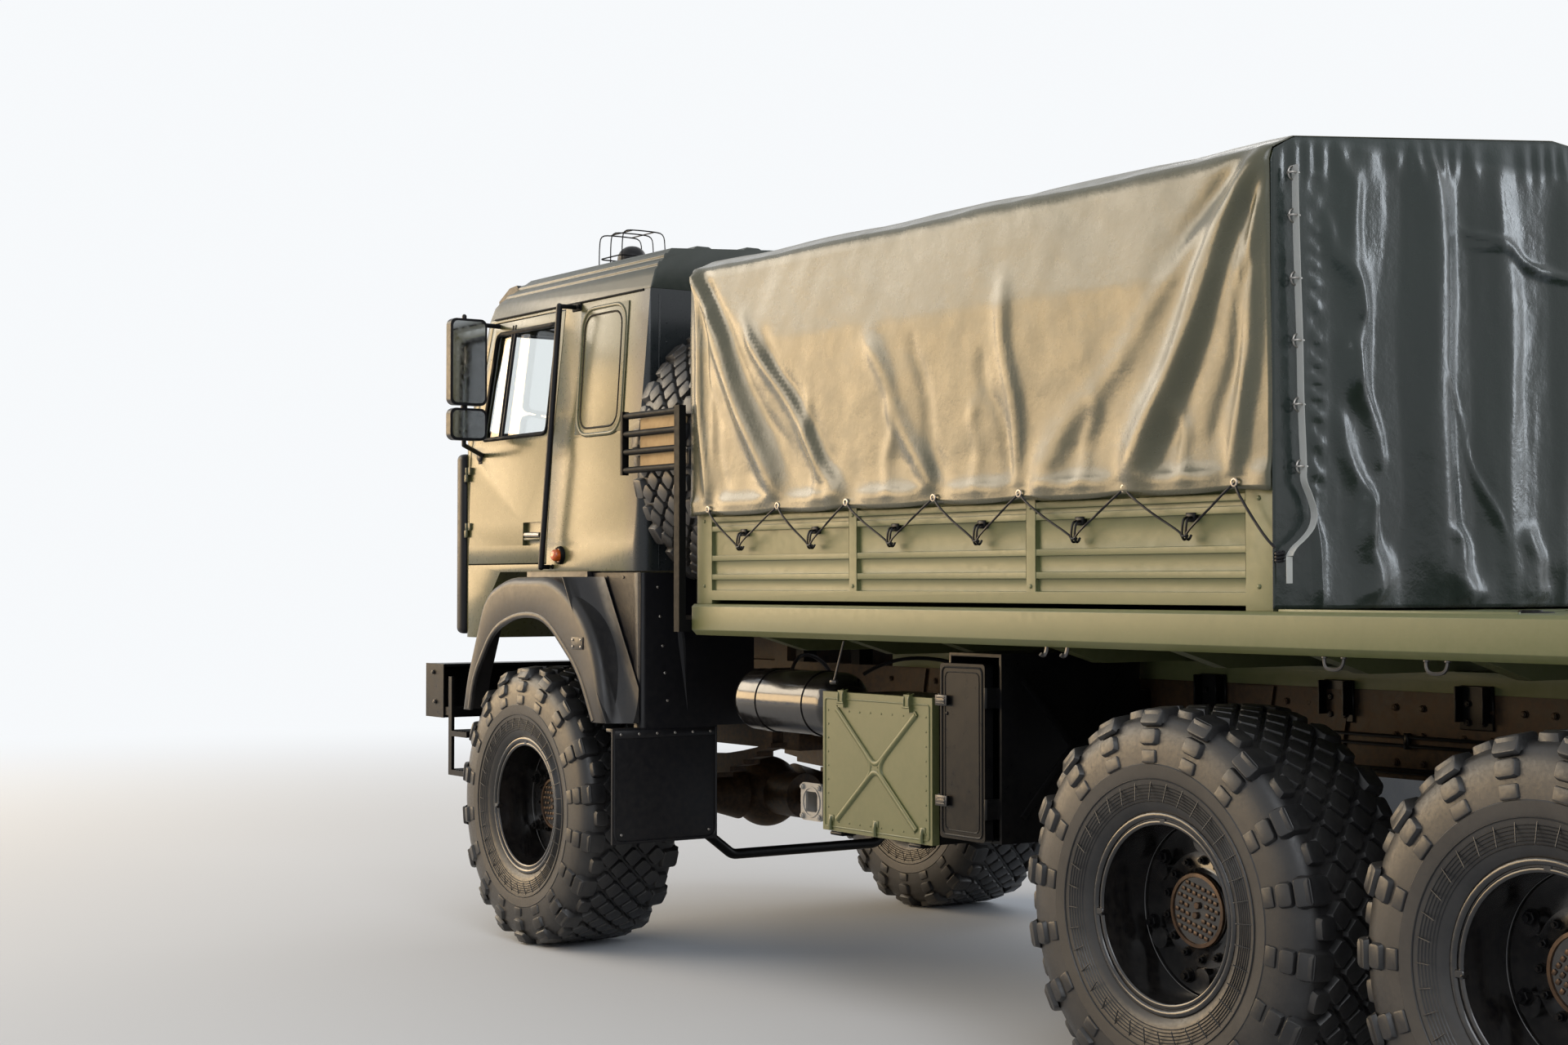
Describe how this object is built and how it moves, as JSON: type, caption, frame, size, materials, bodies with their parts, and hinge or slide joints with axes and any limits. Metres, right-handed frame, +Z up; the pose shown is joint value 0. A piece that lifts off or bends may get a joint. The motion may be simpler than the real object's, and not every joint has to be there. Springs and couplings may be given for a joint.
{
  "type": "three-axle military cargo truck",
  "caption": "Forward-control three-axle military cargo truck with a tilting cab, covered cargo box, spare wheel behind the cab and open rear deck.",
  "frame": {"origin": "on the ground, in the middle of the truck's length and width", "axes": "+X forward towards the cab, +Y to the truck's left, +Z up"},
  "size_m": [8.9, 2.94, 3.238],
  "materials": {
    "olive_paint": "satin olive green paint",
    "cab_paint": "satin dark olive green paint",
    "black_paint": "satin black paint",
    "chassis_paint": "dusty dark brown chassis paint",
    "black_plastic": "black moulded plastic",
    "flare_plastic": "grained dark grey plastic",
    "tyre_rubber": "dusty black rubber",
    "rim_paint": "gloss black paint",
    "mirror_shell": "black plastic shell with mirror glass",
    "tarpaulin": "glossy coated dark green tarpaulin",
    "bow_steel": "dull green paint",
    "window_glass": "clear, slightly green",
    "seat_fabric": "dark grey cloth",
    "dash_plastic": "dark grey grained plastic",
    "orange_lens": "clear orange plastic lens",
    "clear_lens": "clear lamp glass"
  },
  "bodies": {
    "root": {"chassis_frame": "chassis_paint", "front_bumper": "black_paint", "driveline": "chassis_paint", "axles": "chassis_paint", "springs": "chassis_paint", "side_boxes": "olive_paint", "tanks": "black_paint", "mudguards": "black_plastic", "spare_carrier": "black_paint", "spare_tyre": "tyre_rubber", "spare_rim": "rim_paint", "platform": "olive_paint", "rear_deck": "olive_paint", "dropsides": "olive_paint", "canopy_frame": "bow_steel", "canopy": "tarpaulin", "rear_lamps": "black_plastic", "tow_coupling": "black_paint", "front_lamps": "clear_lens"},
    "cab": {"cab_shell": "cab_paint", "cab_roof": "cab_paint", "cab_glass": "window_glass", "grille": "black_plastic", "fender_flares": "flare_plastic", "cab_fittings": "black_plastic", "seats": "seat_fabric", "dashboard": "dash_plastic", "side_lamps": "orange_lens"},
    "door_left": {"door_left": "cab_paint", "door_glass_left": "window_glass", "mirror_left": "mirror_shell"},
    "door_right": {"door_right": "cab_paint", "door_glass_right": "window_glass", "mirror_right": "mirror_shell"},
    "knuckle_left": {"knuckle_left": "chassis_paint"},
    "knuckle_right": {"knuckle_right": "chassis_paint"},
    "tie_rod": {"tie_rod": "black_paint"},
    "equipment_lid": {"equipment_lid": "olive_paint"},
    "battery_lid": {"battery_lid": "black_paint"},
    "wheel_1_left": {"tyre_1_left": "tyre_rubber", "rim_1_left": "rim_paint"},
    "wheel_1_right": {"tyre_1_right": "tyre_rubber", "rim_1_right": "rim_paint"},
    "wheel_2_left": {"tyre_2_left": "tyre_rubber", "rim_2_left": "rim_paint"},
    "wheel_2_right": {"tyre_2_right": "tyre_rubber", "rim_2_right": "rim_paint"},
    "wheel_3_left": {"tyre_3_left": "tyre_rubber", "rim_3_left": "rim_paint"},
    "wheel_3_right": {"tyre_3_right": "tyre_rubber", "rim_3_right": "rim_paint"}
  },
  "joints": [
    {"name": "cab_tilt", "type": "hinge", "parent": "root", "child": "cab", "pos_m": [4.15, 0, 1.15], "axis": [0, 1, 0], "range_deg": [0, 45]},
    {"name": "door_left_hinge", "type": "hinge", "parent": "cab", "child": "door_left", "pos_m": [3.988, 1.224, 2], "axis": [0, 0, -1], "range_deg": [0, 65]},
    {"name": "door_right_hinge", "type": "hinge", "parent": "cab", "child": "door_right", "pos_m": [3.988, -1.224, 2], "axis": [0, 0, 1], "range_deg": [0, 65]},
    {"name": "steer_left", "type": "hinge", "parent": "root", "child": "knuckle_left", "pos_m": [3.2, 0.89, 0.63], "axis": [0, 0, 1], "range_deg": [-28, 28]},
    {"name": "steer_right", "type": "hinge", "parent": "root", "child": "knuckle_right", "pos_m": [3.2, -0.89, 0.63], "axis": [0, 0, 1], "range_deg": [-28, 28]},
    {"name": "tie_rod_pivot", "type": "hinge", "parent": "knuckle_left", "child": "tie_rod", "pos_m": [2.87, 0.74, 0.5], "axis": [0, 0, 1], "range_deg": [-28, 28]},
    {"name": "equipment_lid_hinge", "type": "hinge", "parent": "root", "child": "equipment_lid", "pos_m": [0.735, 1.153, 0.692], "axis": [-1, 0, 0], "range_deg": [0, 110]},
    {"name": "battery_lid_hinge", "type": "hinge", "parent": "root", "child": "battery_lid", "pos_m": [0.032, 1.201, 1.05], "axis": [0, 0, 1], "range_deg": [0, 100]},
    {"name": "wheel_1_left_spin", "type": "hinge", "parent": "knuckle_left", "child": "wheel_1_left", "pos_m": [3.2, 1.092, 0.63], "axis": [0, 1, 0], "continuous": true},
    {"name": "wheel_1_right_spin", "type": "hinge", "parent": "knuckle_right", "child": "wheel_1_right", "pos_m": [3.2, -1.092, 0.63], "axis": [0, 1, 0], "continuous": true},
    {"name": "wheel_2_left_spin", "type": "hinge", "parent": "root", "child": "wheel_2_left", "pos_m": [-0.95, 1.092, 0.63], "axis": [0, 1, 0], "continuous": true},
    {"name": "wheel_2_right_spin", "type": "hinge", "parent": "root", "child": "wheel_2_right", "pos_m": [-0.95, -1.092, 0.63], "axis": [0, 1, 0], "continuous": true},
    {"name": "wheel_3_left_spin", "type": "hinge", "parent": "root", "child": "wheel_3_left", "pos_m": [-2.35, 1.092, 0.63], "axis": [0, 1, 0], "continuous": true},
    {"name": "wheel_3_right_spin", "type": "hinge", "parent": "root", "child": "wheel_3_right", "pos_m": [-2.35, -1.092, 0.63], "axis": [0, 1, 0], "continuous": true}
  ],
  "couplings": [
    {"joint": "steer_right", "follows": "steer_left", "ratio": 1},
    {"joint": "tie_rod_pivot", "follows": "steer_left", "ratio": -1}
  ]
}
